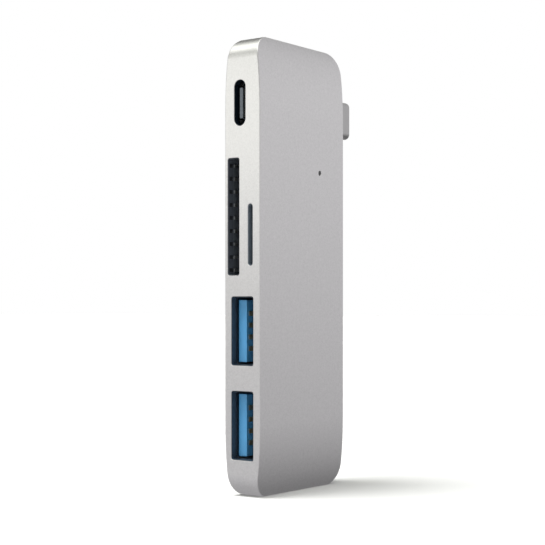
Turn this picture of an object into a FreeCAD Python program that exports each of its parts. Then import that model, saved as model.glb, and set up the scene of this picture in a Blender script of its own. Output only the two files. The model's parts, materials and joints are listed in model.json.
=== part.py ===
"""Slim aluminium USB hub that plugs straight into the side of a laptop.

A milled tub with a thin back cover holds one circuit board.  On one narrow side
are a USB-C socket, an SD slot, a microSD slot and two USB-A sockets.  On the
other narrow side is the fixed USB-C plug.

Frame: the origin is the middle of the lower end face and +Z runs along the
length.  The ports open towards -X, the plug points to +X, the face with the
status light looks towards -Y and the back cover towards +Y.  Millimetres.
"""
import FreeCAD, Part
import math
import os
from collections import namedtuple

# Housing
LENGTH = 95.0
WIDTH = 30.4
THICKNESS = 9.2
CORNER_RADIUS = 4.7
TAPER_LENGTH = 15.5       # stretch at each end where both large faces close in
TAPER_DEPTH = 2.0         # how far each large face has come in at the tip
FOOT_CUT = 0.15           # taken off the tip of the lower end, which leaves a crisp flat to stand on
LOWER_TIP = -FOOT_CUT     # where the lower end's curves would meet
EDGE_RADIUS = 0.25        # round along the edges of the large faces
SIDE_WALL = 1.2
FRONT_WALL = 1.0

# Back cover, let into the back of the tub and glued on a ledge
RIM = 0.6
COVER_THICKNESS = 0.5
COVER_GAP = 0.1
GLUE_THICKNESS = 0.1
GLUE_WIDTH = 0.5

# Openings in the port face: middle, size across the hub (Y) and along it (Z),
# corner radius, and the thickness of the black collar that lines the opening
Opening = namedtuple("Opening", "y z width height radius lining")
USB_C_OPENING = Opening(0.68, 81.2, 2.96, 9.5, 1.48, 0.15)
SD_OPENING = Opening(2.35, 57.78, 3.06, 24.3, 0.5, 0.12)
MICROSD_OPENING = Opening(-2.03, 53.95, 1.24, 12.7, 0.62, 0.10)
USB_A_OPENING_UPPER = Opening(0.05, 34.15, 5.74, 14.25, 0.5, 0.15)
USB_A_OPENING_LOWER = Opening(0.05, 14.65, 5.74, 14.25, 0.5, 0.15)
OPENINGS = (USB_C_OPENING, SD_OPENING, MICROSD_OPENING, USB_A_OPENING_UPPER, USB_A_OPENING_LOWER)
COLLAR_RECESS = 0.1       # collars end this far below the port face
COLLAR_CLEARANCE = 0.02
LINER_THICKNESS = 0.4

# Circuit board and its screws
BOARD_FRONT = -0.5
BOARD_BACK = 0.3
BOARD_X = (-12.6, 12.9)
BOARD_Z = (5.5, 89.5)
BOARD_CORNER = 3.0
SCREW_PLACES = ((9.5, 10.0), (9.5, 43.4), (-9.5, 73.6), (-3.5, 87.0), (11.0, 75.7), (11.0, 87.1))
BRACKET_SCREWS = SCREW_PLACES[4:]
SCREW_RADIUS = 0.65
SCREW_LENGTH = 2.0
SCREW_HEAD_RADIUS = 1.2
SCREW_HEAD_HEIGHT = 0.5
BOSS_RADIUS = 1.4

# Fixed USB-C plug on the far side
PLUG_Z = 81.4
PLUG_REACH = 7.60         # how far the tip stands out of the plug face
PLUG_WIDTH = 2.4
PLUG_HEIGHT = 8.34
PLUG_SHEET = 0.25
COLLAR_REACH = 1.0
COLLAR_RING = 0.6         # how far the black ring stands out round the plug
COLLAR_SLEEVE = 0.45      # and how far the opening for its sleeve does

# Status light
LIGHT_X = 6.1
LIGHT_Z = 68.0
LIGHT_HOLE_RADIUS = 0.5
LIGHT_RECESS = 0.25       # how far the light pipe lies below the front face

# Values that follow
HALF_THICKNESS = THICKNESS / 2
PORT_FACE = -WIDTH / 2
PLUG_FACE = WIDTH / 2
LEDGE_DEPTH = COVER_THICKNESS + GLUE_THICKNESS
LOWER_TAPER = LOWER_TIP + TAPER_LENGTH
UPPER_TAPER = LENGTH - TAPER_LENGTH
LINER_FRONT = PORT_FACE + SIDE_WALL + 0.05
SOCKET_FRONT = LINER_FRONT + LINER_THICKNESS + 0.05
FRONT_INSIDE = -HALF_THICKNESS + FRONT_WALL
COVER_INSIDE = HALF_THICKNESS - COVER_THICKNESS


# ---------------------------------------------------------------- basic shapes

def vec(x, y, z):
    return FreeCAD.Vector(x, y, z)


def box(x, y, z):
    """A block between the two limits given for each axis."""
    return Part.makeBox(x[1] - x[0], y[1] - y[0], z[1] - z[0], vec(x[0], y[0], z[0]))


def around(middle, size):
    return (middle - size / 2, middle + size / 2)


def rounded_wire(place, middle_u, middle_v, width, height, radius):
    """A rounded rectangle.  place(u, v) turns a flat point into a point in space."""
    edges = []
    stops = []
    for quarter in range(4):
        sign_u = 1 if quarter in (0, 3) else -1
        sign_v = 1 if quarter in (0, 1) else -1
        centre_u = middle_u + sign_u * (width / 2 - radius)
        centre_v = middle_v + sign_v * (height / 2 - radius)
        points = []
        for step in range(3):
            angle = math.radians(90 * quarter + 45 * step)
            points.append(place(centre_u + radius * math.cos(angle), centre_v + radius * math.sin(angle)))
        edges.append(Part.Arc(*points).toShape())
        stops.append((points[0], points[2]))
    for quarter in range(4):
        start = stops[quarter][1]
        end = stops[(quarter + 1) % 4][0]
        if start.distanceToPoint(end) > 1e-6:
            edges.append(Part.LineSegment(start, end).toShape())
    return Part.Wire(Part.__sortEdges__(edges))


def bar_along_x(x, middle_y, middle_z, width, height, radius):
    """A bar along X with a rounded section, width along Y and height along Z."""
    wire = rounded_wire(lambda y, z: vec(x[0], y, z), middle_y, middle_z, width, height, radius)
    return Part.Face(wire).extrude(vec(x[1] - x[0], 0, 0))


def plate_along_y(y, middle_x, middle_z, width, height, radius):
    """A plate across Y with a rounded outline, width along X and height along Z."""
    wire = rounded_wire(lambda x, z: vec(x, y[0], z), middle_x, middle_z, width, height, radius)
    return Part.Face(wire).extrude(vec(0, y[1] - y[0], 0))


def pin_along_y(x, z, radius, y):
    return Part.makeCylinder(radius, y[1] - y[0], vec(x, y[0], z), vec(0, 1, 0))


def joined(*pieces):
    """One solid made of pieces that touch or overlap."""
    whole = pieces[0].multiFuse(list(pieces[1:])).removeSplitter()
    return whole.Solids[0] if len(whole.Solids) == 1 else whole


def minus(body, *tools):
    """The body with every tool cut out of it."""
    rest = body.cut(Part.makeCompound(list(tools)))
    return rest.Solids[0] if len(rest.Solids) == 1 else rest


def common(body, tool):
    shared = body.common(tool)
    return shared.Solids[0] if len(shared.Solids) == 1 else shared


def bent_strip(path, thickness, z):
    """Sheet metal bent along an (x, y) path of square corners, as wide as the z limits."""
    half = thickness / 2
    runs = []
    for (x0, y0), (x1, y1) in zip(path, path[1:]):
        x = (min(x0, x1) - half, max(x0, x1) + half)
        y = (min(y0, y1) - half, max(y0, y1) + half)
        runs.append(box(x, y, z))
    return joined(*runs) if len(runs) > 1 else runs[0]


def save(node, *solids):
    """Writes one node, made of one solid or of a group of separate ones."""
    shape = solids[0] if len(solids) == 1 else Part.makeCompound(list(solids))
    if not shape.isValid() or not shape.Solids:
        raise ValueError(node + " is not a sound solid")
    shape.exportStep("parts/" + node + ".step")
    print("%-28s %3d solid(s) %10.3f mm3" % (node, len(shape.Solids), shape.Volume))


# ---------------------------------------------------------------- housing

def outline(inset, y=(-THICKNESS, THICKNESS)):
    """The rounded outline of the large face, brought in all round."""
    radius = CORNER_RADIUS - inset
    middle, length = (LENGTH + LOWER_TIP) / 2, LENGTH - LOWER_TIP
    return plate_along_y(y, 0, middle, WIDTH - 2 * inset, length - 2 * inset, radius)


def side_profile(front_inset, back_inset):
    """The body seen from the port side: flat in the middle, elliptical towards both ends.

    The two insets move the large faces in by that much, measured across the hub.
    """
    x = -WIDTH
    edges = []
    corners = []
    for sign, inset in ((-1, front_inset), (1, back_inset)):
        tip = sign * (HALF_THICKNESS - TAPER_DEPTH - inset)
        flat = sign * (HALF_THICKNESS - inset)
        for end, start in ((LOWER_TIP, LOWER_TAPER), (LENGTH, UPPER_TAPER)):
            ellipse = Part.Ellipse(vec(x, tip, end), vec(x, flat, start), vec(x, tip, start))
            edges.append(Part.ArcOfEllipse(ellipse, 0, math.pi / 2).toShape())
        flat_ends = (vec(x, flat, LOWER_TAPER), vec(x, flat, UPPER_TAPER))
        edges.append(Part.LineSegment(*flat_ends).toShape())
        corners.append(tip)
    for end in (LOWER_TIP, LENGTH):
        edges.append(Part.LineSegment(vec(x, corners[0], end), vec(x, corners[1], end)).toShape())
    wire = Part.Wire(Part.__sortEdges__(edges))
    return Part.Face(wire).extrude(vec(2 * WIDTH, 0, 0))


def inside_of_tub(clearance):
    """The room in the tub up to the ledge, less a clearance all round."""
    sides = outline(SIDE_WALL + clearance)
    return common(sides, side_profile(FRONT_WALL + clearance, LEDGE_DEPTH + clearance))


def above_surface(inset, depth):
    """What lies inside the inset outline and less than depth under the back face."""
    block = outline(inset, (0.5, THICKNESS))
    return minus(common(block, side_profile(0, 0)), side_profile(0, depth))


def opening_bar(opening, x, inset=0.0):
    radius = opening.radius - inset
    width = opening.width - 2 * inset
    height = opening.height - 2 * inset
    return bar_along_x(x, opening.y, opening.z, width, height, radius)


def solid_body():
    """The outside of the hub as one block, its long edges and all that runs on from them rounded."""
    body = common(outline(0), side_profile(0, 0))
    straight = UPPER_TAPER - LOWER_TAPER
    long_edges = [edge for edge in body.Edges if abs(edge.BoundBox.ZLength - straight) < 1e-6]
    rounded = body.makeFillet(EDGE_RADIUS, long_edges)
    below = Part.makeBox(2 * WIDTH, 2 * THICKNESS, FOOT_CUT + 1, vec(-WIDTH, -THICKNESS, LOWER_TIP - 1))
    return minus(rounded, below)


def housing_shell():
    body = solid_body()
    bosses = [pin_along_y(x, z, BOSS_RADIUS, (FRONT_INSIDE - 0.3, BOARD_FRONT)) for x, z in SCREW_PLACES]
    screw_holes = [
        pin_along_y(x, z, SCREW_RADIUS + 0.05, (BOARD_BACK - SCREW_LENGTH - 0.7, BOARD_BACK))
        for x, z in SCREW_PLACES
    ]
    tub = minus(body, inside_of_tub(0), above_surface(RIM, LEDGE_DEPTH))
    tub = joined(tub, *bosses)
    through_wall = (PORT_FACE - 1, PORT_FACE + SIDE_WALL + 0.5)
    cuts = [opening_bar(opening, through_wall) for opening in OPENINGS]
    plug_wall = (PLUG_FACE - SIDE_WALL - 0.5, PLUG_FACE + 1)
    cuts.append(plug_bar(plug_wall, -COLLAR_SLEEVE))
    cuts.append(pin_along_y(LIGHT_X, LIGHT_Z, LIGHT_HOLE_RADIUS, (-THICKNESS, FRONT_INSIDE + 0.5)))
    return minus(tub, *cuts, *screw_holes)


def back_cover():
    return above_surface(RIM + COVER_GAP, COVER_THICKNESS)


def cover_glue():
    inner = RIM + COVER_GAP + GLUE_WIDTH
    band = above_surface(RIM + COVER_GAP, LEDGE_DEPTH)
    return minus(band, side_profile(0, 0).cut(side_profile(0, COVER_THICKNESS)), outline(inner))


def port_liner():
    """A black plate behind the port wall, with a collar standing in every opening."""
    plate_x = (LINER_FRONT, LINER_FRONT + LINER_THICKNESS)
    plate = common(box(plate_x, (-THICKNESS, THICKNESS), (6.0, 89.0)), inside_of_tub(0.1))
    collar_x = (PORT_FACE + COLLAR_RECESS, plate_x[1])
    collars = [opening_bar(opening, collar_x, COLLAR_CLEARANCE) for opening in OPENINGS]
    hollow_x = (PORT_FACE - 1, plate_x[1] + 1)
    hollows = [opening_bar(opening, hollow_x, opening.lining) for opening in OPENINGS]
    return minus(joined(plate, *collars), *hollows)


# ---------------------------------------------------------------- board

def main_board():
    board = plate_along_y(
        (BOARD_FRONT, BOARD_BACK), sum(BOARD_X) / 2, sum(BOARD_Z) / 2,
        BOARD_X[1] - BOARD_X[0], BOARD_Z[1] - BOARD_Z[0], BOARD_CORNER,
    )
    y = (BOARD_FRONT - 1, BOARD_BACK + 1)
    notches = [
        box((-20, USB_A_REAR + 0.1), y, around(opening.z, USB_A_SHELL_HEIGHT + 0.2))
        for opening in (USB_A_OPENING_UPPER, USB_A_OPENING_LOWER)
    ]
    notches.append(box((-20, USB_C_REAR + 0.1), y, around(USB_C_OPENING.z, USB_C_SHELL_HEIGHT + 0.2)))
    notches.append(box((PADDLE_X[0] - 0.1, 20), y, around(PLUG_Z, PLUG_HEIGHT + 0.6)))
    holes = [pin_along_y(x, z, SCREW_RADIUS + 0.1, y) for x, z in SCREW_PLACES]
    return minus(board, *notches, *holes)


def screw(x, z, seat):
    """A small pan-head screw driven from the back, its head standing on seat."""
    head = pin_along_y(x, z, SCREW_HEAD_RADIUS, (seat, seat + SCREW_HEAD_HEIGHT))
    shank = pin_along_y(x, z, SCREW_RADIUS, (BOARD_BACK - SCREW_LENGTH, seat))
    top = (seat + SCREW_HEAD_HEIGHT * 0.4, seat + 1)
    cross = (
        box(around(x, 1.3), top, around(z, 0.3)),
        box(around(x, 0.3), top, around(z, 1.3)),
    )
    return minus(joined(head, shank), *cross)


def on_front(x, z, width, height, tall, chamfer=0.08, dot=0.0):
    """A component on the front of the board, its top edges chamfered."""
    return component(x, z, width, height, BOARD_FRONT, BOARD_FRONT - tall, chamfer, dot)


def on_back(x, z, width, height, tall, chamfer=0.08, dot=0.0):
    return component(x, z, width, height, BOARD_BACK, BOARD_BACK + tall, chamfer, dot)


def component(x, z, width, height, foot, top, chamfer, dot):
    block = box(around(x, width), (min(foot, top), max(foot, top)), around(z, height))
    level_edges = [edge for edge in block.Edges if edge.BoundBox.YLength < 1e-6]
    rim = [edge for edge in level_edges if abs(edge.BoundBox.YMin - top) < 1e-6]
    block = block.makeChamfer(chamfer, rim)
    if dot:
        depth = (top, top + 0.08) if top < foot else (top - 0.08, top)
        corner_x = x - width / 2 + 2.2 * dot
        corner_z = z + height / 2 - 2.2 * dot
        block = minus(block, pin_along_y(corner_x, corner_z, dot, depth))
    return block


def capacitor_rows():
    """Small ceramic capacitors in rows beside the three chips."""
    rows = (
        (1.6, 21.6, 5), (1.6, 34.4, 5), (5.2, 50.6, 3), (5.2, 59.4, 3), (-1.4, 76.4, 3), (-1.4, 83.6, 3),
    )
    pitch = 1.8
    return [
        on_front(first_x + pitch * number, z, 0.6, 1.1, 0.55, 0.05)
        for first_x, z, count in rows
        for number in range(count)
    ]


def ground_spring(x, z):
    """A bent finger that presses on the inside of the back cover."""
    sheet = 0.12
    foot = BOARD_BACK + sheet / 2
    crown = COVER_INSIDE - 0.03 - sheet / 2
    path = ((x - 1.0, foot), (x + 1.4, foot), (x + 1.4, crown), (x - 0.8, crown), (x - 0.8, crown - 0.8))
    return bent_strip(path, sheet, around(z, 1.6))


def light_pipe():
    tip_y = (-HALF_THICKNESS + LIGHT_RECESS, FRONT_INSIDE + 0.3)
    tip = pin_along_y(LIGHT_X, LIGHT_Z, LIGHT_HOLE_RADIUS - 0.03, tip_y)
    flange = pin_along_y(LIGHT_X, LIGHT_Z, 1.1, (FRONT_INSIDE + 0.02, FRONT_INSIDE + 0.6))
    stem = pin_along_y(LIGHT_X, LIGHT_Z, 0.7, (FRONT_INSIDE + 0.3, BOARD_FRONT - 0.75))
    return joined(tip, flange, stem)


# ---------------------------------------------------------------- USB-A sockets

CONTACT_SHEET = 0.12                 # sheet of the USB-A and SD contacts
USB_A_REAR = -2.0
USB_A_SHEET = 0.25
USB_A_ROOM = (5.44, 13.92)           # width and height inside the steel shell
USB_A_SHELL_HEIGHT = USB_A_ROOM[1] + 2 * USB_A_SHEET
USB_A_TONGUE_Y = (0.14, 2.17)
USB_A_TONGUE_HEIGHT = 12.8
USB_A_BLOCK_FRONT = -5.2
USB_A_CONTACT_PITCH = 2.42
USB_A_CONTACT_WIDTH = 1.0
USB_A_FAST_PITCH = 2.0
USB_A_FAST_WIDTH = 0.7


def usb_a_shell(opening):
    width, height = USB_A_ROOM
    x = (SOCKET_FRONT, USB_A_REAR)
    outside = bar_along_x(x, opening.y, opening.z, width + 2 * USB_A_SHEET, USB_A_SHELL_HEIGHT, 0.75)
    room = bar_along_x((x[0] - 1, x[1] + 1), opening.y, opening.z, width, height, 0.5)
    return minus(outside, room)


def usb_a_contacts(opening):
    """Four long contacts on the front of the tongue, with tails on the board."""
    level = USB_A_TONGUE_Y[0] - 0.04
    tail = BOARD_FRONT - CONTACT_SHEET / 2
    path = ((SOCKET_FRONT + 0.75, level), (-3.6, level), (-3.6, tail), (-0.9, tail))
    places = [opening.z + USB_A_CONTACT_PITCH * (number - 1.5) for number in range(4)]
    return [bent_strip(path, CONTACT_SHEET, around(z, USB_A_CONTACT_WIDTH)) for z in places]


def usb_a_fast_contacts(opening):
    """Five short contacts on the back of the tongue, with tails on the board."""
    level = USB_A_TONGUE_Y[1] + 0.04
    tail = BOARD_BACK + CONTACT_SHEET / 2
    path = ((SOCKET_FRONT + 3.5, level), (-2.9, level), (-2.9, tail), (-0.9, tail))
    places = [opening.z + USB_A_FAST_PITCH * (number - 2) for number in range(5)]
    return [bent_strip(path, CONTACT_SHEET, around(z, USB_A_FAST_WIDTH)) for z in places]


def usb_a_insulator(opening, contacts):
    width, height = USB_A_ROOM
    block_x = (USB_A_BLOCK_FRONT, USB_A_REAR)
    block = bar_along_x(block_x, opening.y, opening.z, width - 0.04, height - 0.04, 0.45)
    middle = sum(USB_A_TONGUE_Y) / 2
    thick = USB_A_TONGUE_Y[1] - USB_A_TONGUE_Y[0]
    tongue = bar_along_x(
        (SOCKET_FRONT, USB_A_BLOCK_FRONT + 0.5), middle, opening.z, thick, USB_A_TONGUE_HEIGHT, 0.15)
    return minus(joined(block, tongue), *contacts)


# ---------------------------------------------------------------- USB-C socket

USB_C_REAR = -7.4
USB_C_SHEET = 0.22
USB_C_SHELL_HEIGHT = USB_C_OPENING.height - 0.3 + 2 * USB_C_SHEET
USB_C_TONGUE_THICKNESS = 0.76
USB_C_TONGUE_HEIGHT = 6.28
USB_C_TONGUE_TIP = PORT_FACE + 0.55


def usb_c_shell():
    x = (SOCKET_FRONT, USB_C_REAR)
    outside = opening_bar(USB_C_OPENING, x, USB_C_OPENING.lining - USB_C_SHEET)
    room = opening_bar(USB_C_OPENING, (x[0] - 1, x[1] + 1), USB_C_OPENING.lining)
    return minus(outside, room)


def contact_pairs(x, middle_y, middle_z, surface, sheet):
    """Two facing rows of twelve fine contacts, half a millimetre apart."""
    strips = []
    for side in (-1, 1):
        near = middle_y + side * surface
        far = middle_y + side * (surface + sheet)
        for number in range(12):
            z = middle_z + 0.5 * (number - 5.5)
            strips.append(box(x, (min(near, far), max(near, far)), around(z, 0.24)))
    return strips


def usb_c_contacts():
    x = (USB_C_TONGUE_TIP + 0.6, USB_C_REAR + 0.05)
    return contact_pairs(x, USB_C_OPENING.y, USB_C_OPENING.z, USB_C_TONGUE_THICKNESS / 2, 0.06)


def usb_c_insulator(contacts):
    block = opening_bar(USB_C_OPENING, (USB_C_REAR - 1.7, USB_C_REAR), USB_C_OPENING.lining + 0.02)
    tongue = bar_along_x(
        (USB_C_TONGUE_TIP, USB_C_REAR - 1.2), USB_C_OPENING.y, USB_C_OPENING.z,
        USB_C_TONGUE_THICKNESS, USB_C_TONGUE_HEIGHT, 0.2,
    )
    return minus(joined(block, tongue), *contacts)


# ---------------------------------------------------------------- SD socket

SD_REAR = 11.8
SD_ROOM_Y = (0.8, 3.74)
SD_ROOF = 0.28
SD_ROOM_Z = around(SD_OPENING.z, SD_OPENING.height - 0.2)
SD_CONTACT_PITCH = 2.71
SD_CONTACT_WIDTH = 0.7
SD_LEVER_PIVOT = (5.6, 71.0)
SD_POCKET_X = (4.6, 10.4)
SD_POCKET_TOP = 72.1


def sd_lever_pin():
    x, z = SD_LEVER_PIVOT
    return pin_along_y(x, z, 0.3, (SD_ROOM_Y[0] + 0.5, SD_ROOM_Y[1] + 0.2))


def sd_base():
    """Black plastic frame: a roof towards the back cover, two side walls and a rear wall."""
    outer_z = (SD_ROOM_Z[0] - 0.45, SD_ROOM_Z[1] + 0.45)
    y = (SD_ROOM_Y[0] - 0.1, SD_ROOM_Y[1] + SD_ROOF)
    frame = joined(
        box((SOCKET_FRONT, SD_REAR), y, outer_z),
        box((SD_POCKET_X[0] - 0.6, SD_POCKET_X[1] + 0.6), y, (outer_z[1] - 0.1, SD_POCKET_TOP + 0.4)),
    )
    room = box((SOCKET_FRONT - 1, SD_REAR - 0.6), (y[0] - 1, SD_ROOM_Y[1]), SD_ROOM_Z)
    pocket = box(SD_POCKET_X, (y[0] - 1, SD_ROOM_Y[1]), (SD_ROOM_Z[1] - 0.1, SD_POCKET_TOP))
    tail_slots = [
        box((SD_REAR - 1, SD_REAR + 1), (SD_ROOM_Y[1] - 0.2, SD_ROOM_Y[1]), around(z, 0.9))
        for z in sd_contact_places()
    ]
    return minus(frame, room, pocket, sd_lever_pin(), *tail_slots)


def sd_contact_places():
    return [SD_OPENING.z - 0.15 + SD_CONTACT_PITCH * (number - 4) for number in range(9)]


def sd_contacts():
    """Nine contacts under the roof, bent down behind the rear wall to the board."""
    level = SD_ROOM_Y[1] - 0.08
    rear = SD_REAR + 0.1
    foot = BOARD_BACK + CONTACT_SHEET / 2
    path = ((SOCKET_FRONT + 0.25, level), (rear, level), (rear, foot), (rear + 0.6, foot))
    strips = []
    for z in sd_contact_places():
        width = around(z, SD_CONTACT_WIDTH)
        hump = box((SOCKET_FRONT + 0.19, SOCKET_FRONT + 0.9), (level - 0.25, level), width)
        strips.append(joined(bent_strip(path, CONTACT_SHEET, width), hump))
    return strips


def sd_cover():
    """Steel sheet that closes the socket on the board side."""
    y = (BOARD_BACK + 0.05, SD_ROOM_Y[0] - 0.12)
    wide = (SD_ROOM_Z[0] - 0.4, SD_ROOM_Z[1] + 0.4)
    sheet = box((SOCKET_FRONT, SD_REAR - 0.2), y, wide)
    window = plate_along_y((y[0] - 1, y[1] + 1), -2.0, SD_OPENING.z, 10.0, 14.0, 1.5)
    return minus(sheet, window)


def sd_detect_lever():
    """Lever that the edge of a full-size card pushes aside."""
    x, z = SD_LEVER_PIVOT
    y = (SD_ROOM_Y[0] + 0.9, SD_ROOM_Y[1] - 0.3)
    eye = pin_along_y(x, z, 0.62, y)
    arm = box((x, x + 3.6), y, (z - 0.35, z + 0.1))
    nose = joined(
        box((x + 2.4, x + 3.6), y, (SD_ROOM_Z[1] - 0.1, z)),
        pin_along_y(x + 3.0, SD_ROOM_Z[1] - 0.1, 0.6, y),
    )
    bore = pin_along_y(x, z, 0.35, (y[0] - 1, y[1] + 1))
    return minus(joined(eye, arm, nose), bore)


# ---------------------------------------------------------------- microSD socket

MICROSD_REAR = 1.8
MICROSD_ROOM_Y = (MICROSD_OPENING.y - 0.6, MICROSD_OPENING.y + 0.6)
MICROSD_ROOM_Z = (MICROSD_OPENING.z - 6.2, MICROSD_OPENING.z + 8.1)
SLIDER_Z = (60.4, 60.95)
CAM_BLOCK_X = (-9.6, -6.5)
CAM_BLOCK_Z = (60.95, 61.95)
CAM_PIN_Z = 61.45
CAM_PIN_X = -12.3         # where the latch pin turns in its seat
CAM_PIN_RADIUS = 0.1
CAM_TIP_X = -6.95
MICROSD_CONTACT_X = -7.5
MICROSD_CONTACT_WIDTH = 0.55
MICROSD_CONTACT_SHEET = 0.08
SPRING_RADIUS = 0.36
SPRING_WIRE = 0.07
SPRING_TURNS = 9


def microsd_base():
    """Black plastic tray on the front of the board, open towards the steel cover."""
    y = (MICROSD_ROOM_Y[0], BOARD_FRONT - 0.02)
    outer_z = (MICROSD_ROOM_Z[0] - 0.5, MICROSD_ROOM_Z[1] + 0.5)
    tray = box((SOCKET_FRONT, MICROSD_REAR), y, outer_z)
    room_y = (y[0] - 1, MICROSD_ROOM_Y[1])
    card_room = box((SOCKET_FRONT - 1, MICROSD_REAR - 0.6), room_y, (MICROSD_ROOM_Z[0], SLIDER_Z[0] - 0.3))
    slider_room = box((-11.4, MICROSD_REAR - 0.6), room_y, (SLIDER_Z[0] - 0.4, MICROSD_ROOM_Z[1]))
    pin_seat = pin_along_y(CAM_PIN_X, CAM_PIN_Z, CAM_PIN_RADIUS + 0.04, (y[0] - 1, MICROSD_ROOM_Y[0] + 0.7))
    pin_path = box((CAM_PIN_X, CAM_PIN_X + 1), (y[0] - 1, MICROSD_ROOM_Y[0] + 0.35), around(CAM_PIN_Z, 0.32))
    tail_slots = [
        box((MICROSD_REAR - 1, MICROSD_REAR + 1), (MICROSD_ROOM_Y[1] - 0.15, MICROSD_ROOM_Y[1]), around(z, 0.75))
        for z in microsd_contact_places()
    ]
    return minus(tray, card_room, slider_room, pin_seat, pin_path, *tail_slots)


def microsd_contact_places():
    return [MICROSD_OPENING.z + 1.1 * (number - 3.5) for number in range(8)]


def microsd_contacts():
    level = MICROSD_ROOM_Y[1] - 0.06
    foot = BOARD_FRONT - 0.06
    rear = MICROSD_REAR + 0.1
    path = ((MICROSD_CONTACT_X, level), (rear, level), (rear, foot), (rear + 0.6, foot))
    strips = []
    for z in microsd_contact_places():
        width = around(z, MICROSD_CONTACT_WIDTH)
        hump = box((MICROSD_CONTACT_X, MICROSD_CONTACT_X + 0.6), (level - 0.2, level), width)
        strips.append(joined(bent_strip(path, MICROSD_CONTACT_SHEET, width), hump))
    return strips


def microsd_cover():
    """Steel sheet over the tray, folded down along both sides."""
    top = (MICROSD_ROOM_Y[0] - 0.17, MICROSD_ROOM_Y[0] - 0.02)
    outer_z = (MICROSD_ROOM_Z[0] - 0.7, MICROSD_ROOM_Z[1] + 0.7)
    x = (SOCKET_FRONT, MICROSD_REAR - 0.2)
    skirt_y = (top[0], BOARD_FRONT - 0.4)
    sheet = box(x, top, outer_z)
    sheet_thickness = top[1] - top[0]
    skirts = [
        box(x, skirt_y, (outer_z[0], outer_z[0] + sheet_thickness)),
        box(x, skirt_y, (outer_z[1] - sheet_thickness, outer_z[1])),
    ]
    window = plate_along_y((top[0] - 1, top[1] + 1), -9.0, MICROSD_OPENING.z, 3.0, 8.0, 0.8)
    return minus(joined(sheet, *skirts), window)


def microsd_slider():
    """The carriage that a microSD card pushes in, with the track for the latch pin."""
    y = (MICROSD_ROOM_Y[0] + 0.12, MICROSD_ROOM_Y[1] - 0.1)
    arm = box((CAM_BLOCK_X[0], -1.2), y, SLIDER_Z)
    hook = box((-2.2, -1.2), (y[0] + 0.1, y[1] - 0.1), (57.8, SLIDER_Z[0] + 0.1))
    block_y = (MICROSD_ROOM_Y[0] + 0.4, y[1])
    block = box(CAM_BLOCK_X, block_y, (CAM_BLOCK_Z[0] - 0.1, CAM_BLOCK_Z[1]))
    track = bar_along_x(
        (CAM_BLOCK_X[0] + 0.2, CAM_BLOCK_X[1] - 0.2), block_y[0] + 0.15, CAM_PIN_Z, 0.5, 0.5, 0.05)
    return minus(joined(arm, hook, block), track)


def cam_pin():
    """Bent wire that rides in the slider's track and holds it when the card is in."""
    run = MICROSD_ROOM_Y[0] + 0.15
    radius = CAM_PIN_RADIUS
    wire = Part.makeCylinder(radius, CAM_TIP_X - CAM_PIN_X, vec(CAM_PIN_X, run, CAM_PIN_Z), vec(1, 0, 0))
    ends = [
        Part.makeCylinder(radius, depth, vec(x, run, CAM_PIN_Z), vec(0, 1, 0))
        for x, depth in ((CAM_PIN_X, 0.45), (CAM_TIP_X, 0.4))
    ]
    knees = [Part.makeSphere(radius, vec(x, run, CAM_PIN_Z)) for x in (CAM_PIN_X, CAM_TIP_X)]
    return joined(wire, *ends, *knees)


def slider_spring():
    """Coil spring between the slider's block and the rear wall of the tray."""
    front = CAM_BLOCK_X[1] + 0.05 + SPRING_WIRE
    rear = MICROSD_REAR - 0.65 - SPRING_WIRE
    length = rear - front
    helix = Part.makeHelix(length / SPRING_TURNS, length, SPRING_RADIUS)
    section = Part.Wire(Part.makeCircle(SPRING_WIRE, vec(SPRING_RADIUS, 0, 0), vec(0, 1, 0)))
    coil = Part.Wire(helix.Edges).makePipeShell([section], True, True)
    coil.rotate(vec(0, 0, 0), vec(0, 1, 0), 90)
    coil.translate(vec(front, MICROSD_OPENING.y + 0.12, CAM_PIN_Z))
    return coil


# ---------------------------------------------------------------- plug

PLUG_TIP = PLUG_FACE + PLUG_REACH
PADDLE_X = (8.2, 12.4)
PLUG_SHELL_REAR = 12.6
PLUG_SLOT = (1.04, 6.9)
PLUG_SLOT_REAR = 16.4
PLUG_CONTACT_SHEET = 0.1


def plug_bar(x, inset):
    radius = PLUG_WIDTH / 2 - inset
    return bar_along_x(x, 0, PLUG_Z, PLUG_WIDTH - 2 * inset, PLUG_HEIGHT - 2 * inset, radius)


def plug_shell():
    tube = plug_bar((PLUG_SHELL_REAR, PLUG_TIP), 0)
    mouth = [edge for edge in tube.Edges if abs(edge.BoundBox.XMin - PLUG_TIP) < 1e-6]
    tube = tube.makeFillet(0.18, mouth)
    return minus(tube, plug_bar((PLUG_SHELL_REAR - 1, PLUG_TIP + 1), PLUG_SHEET))


def plug_collar():
    """Black ring round the root of the plug, its sleeve fitting the wall of the tub."""
    ring = plug_bar((PLUG_FACE, PLUG_FACE + COLLAR_REACH), -COLLAR_RING)
    rim = [edge for edge in ring.Edges if abs(edge.BoundBox.XMin - PLUG_FACE - COLLAR_REACH) < 1e-6]
    ring = ring.makeFillet(0.3, rim)
    sleeve_x = (PLUG_FACE - SIDE_WALL - 0.4, PLUG_FACE + 0.1)
    sleeve = plug_bar(sleeve_x, COLLAR_CLEARANCE - COLLAR_SLEEVE)
    return minus(joined(ring, sleeve), plug_bar((0, 30), -0.02))


def plug_contacts():
    x = (PADDLE_X[1] - 1.6, PLUG_TIP - 0.9)
    return contact_pairs(x, 0, PLUG_Z, PLUG_SLOT[0] / 2 - PLUG_CONTACT_SHEET, PLUG_CONTACT_SHEET)


def plug_insulator(contacts):
    body = plug_bar((PLUG_SHELL_REAR + 0.1, PLUG_TIP - 0.25), PLUG_SHEET + 0.02)
    slot = box((PLUG_SLOT_REAR, PLUG_TIP + 1), around(0, PLUG_SLOT[0]), around(PLUG_Z, PLUG_SLOT[1]))
    return minus(body, slot, plug_latch(), *contacts)


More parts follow.
